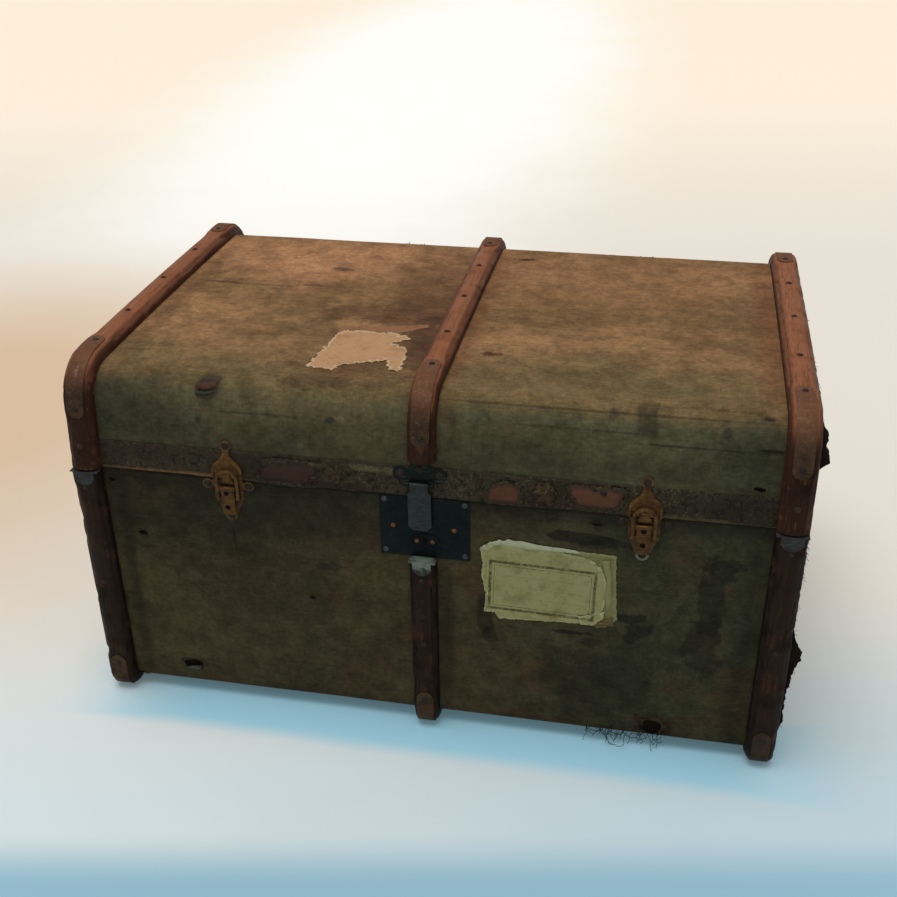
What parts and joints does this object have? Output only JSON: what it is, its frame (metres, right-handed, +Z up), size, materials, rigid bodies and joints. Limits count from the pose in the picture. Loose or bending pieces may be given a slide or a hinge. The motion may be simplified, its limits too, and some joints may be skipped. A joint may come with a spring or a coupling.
{
  "type": "dome top trunk",
  "caption": "Canvas-covered travelling trunk with bentwood battens, low crowned hinged lid, draw catches, hasp lock and end handles.",
  "frame": {"origin": "on the floor under the middle of the trunk", "axes": "+X to the right as the front is faced, +Y towards the hinged back, +Z up"},
  "size_m": [0.952, 0.6244, 0.5058],
  "materials": {
    "batten_wood_lid": "worn varnished ash, warm brown",
    "batten_wood_body": "worn dark red-brown ash",
    "board_wood": "plain basswood board",
    "olive_canvas": "worn painted olive canvas",
    "lining_cloth": "plain cotton lining",
    "fibre_band": "mottled worn vulcanised fibre",
    "label_paper": "aged paper, bare",
    "grey_steel": "dull grey steel",
    "rusty_strap": "rust-stained steel",
    "dark_iron": "blackened iron",
    "copper": "copper rivet",
    "bright_screw": "bright steel",
    "worn_brass": "worn lacquered brass",
    "handle_leather": "dark worn leather"
  },
  "bodies": {
    "case": {"back_board": "board_wood", "batten_end_caps": "grey_steel", "body_batten_centre": "batten_wood_body", "body_batten_left": "batten_wood_body", "body_batten_nails": "dark_iron", "body_batten_right": "batten_wood_body", "body_bend_straps": "rusty_strap", "body_canvas": "olive_canvas", "body_lining": "lining_cloth", "body_strap_screws": "dark_iron", "bolt_spring": "grey_steel", "bottom_board": "board_wood", "catch_base_rivets": "dark_iron", "catch_bases": "worn_brass", "catch_pivot_pins": "worn_brass", "front_board": "board_wood", "handle_bracket_rivets": "dark_iron", "handle_brackets": "dark_iron", "hinge_pins": "dark_iron", "key_post": "grey_steel", "keyhole_escutcheon": "dark_iron", "left_end_board": "board_wood", "lock_case": "grey_steel", "lock_plate": "dark_iron", "lock_plate_rivets": "copper", "lock_plate_screws": "bright_screw", "lower_hinge_leaves": "dark_iron", "lower_hinge_screws": "dark_iron", "paper_label": "label_paper", "right_end_board": "board_wood"},
    "lid": {"lid_bent_board": "board_wood", "lid_left_end": "board_wood", "lid_right_end": "board_wood", "lid_canvas": "olive_canvas", "lid_lining": "lining_cloth", "valance_band": "fibre_band", "band_rivets": "dark_iron", "lid_batten_left": "batten_wood_lid", "lid_batten_centre": "batten_wood_lid", "lid_batten_right": "batten_wood_lid", "lid_bend_straps": "rusty_strap", "lid_strap_screws": "dark_iron", "lid_batten_nails": "dark_iron", "hasp_hinge_plate": "dark_iron", "hasp_pin": "dark_iron", "catch_keepers": "worn_brass", "lid_fitting_rivets": "dark_iron", "upper_hinge_leaves": "dark_iron", "upper_hinge_screws": "dark_iron"},
    "hasp": {"hasp_flap": "grey_steel"},
    "left_lever": {"left_catch_lever": "worn_brass", "left_loop_pin": "worn_brass"},
    "right_lever": {"right_catch_lever": "worn_brass", "right_loop_pin": "worn_brass"},
    "left_loop": {"left_catch_loop": "worn_brass"},
    "right_loop": {"right_catch_loop": "worn_brass"},
    "lock_bolt": {"lock_bolt": "worn_brass"},
    "left_handle": {"left_handle": "handle_leather"},
    "right_handle": {"right_handle": "handle_leather"}
  },
  "joints": [
    {"name": "lid_hinge", "type": "hinge", "parent": "case", "child": "lid", "pos_m": [0, 0.3109, 0.3575], "axis": [-1, 0, 0], "range_deg": [0, 100]},
    {"name": "hasp_hinge", "type": "hinge", "parent": "lid", "child": "hasp", "pos_m": [-0.003, -0.29469, 0.37512], "axis": [-1, 0, 0], "range_deg": [0, 150]},
    {"name": "lock_bolt_slide", "type": "slide", "parent": "case", "child": "lock_bolt", "axis": [1, 0, 0], "range_m": [0, 0.008]},
    {"name": "left_lever_hinge", "type": "hinge", "parent": "case", "child": "left_lever", "pos_m": [-0.25, -0.2963, 0.346], "axis": [-1, 0, 0], "range_deg": [0, 150]},
    {"name": "left_loop_hinge", "type": "hinge", "parent": "left_lever", "child": "left_loop", "pos_m": [-0.25, -0.2945, 0.331], "axis": [1, 0, 0], "range_deg": [0, 195]},
    {"name": "right_lever_hinge", "type": "hinge", "parent": "case", "child": "right_lever", "pos_m": [0.269, -0.2963, 0.346], "axis": [-1, 0, 0], "range_deg": [0, 150]},
    {"name": "right_loop_hinge", "type": "hinge", "parent": "right_lever", "child": "right_loop", "pos_m": [0.269, -0.2945, 0.331], "axis": [1, 0, 0], "range_deg": [0, 195]},
    {"name": "left_handle_hinge", "type": "hinge", "parent": "case", "child": "left_handle", "pos_m": [-0.467, 0, 0.262], "axis": [0, 1, 0], "range_deg": [0, 95]},
    {"name": "right_handle_hinge", "type": "hinge", "parent": "case", "child": "right_handle", "pos_m": [0.467, 0, 0.262], "axis": [0, -1, 0], "range_deg": [0, 95]}
  ],
  "couplings": [
    {"joint": "left_loop_hinge", "follows": "left_lever_hinge", "ratio": 1.3},
    {"joint": "right_loop_hinge", "follows": "right_lever_hinge", "ratio": 1.3}
  ]
}
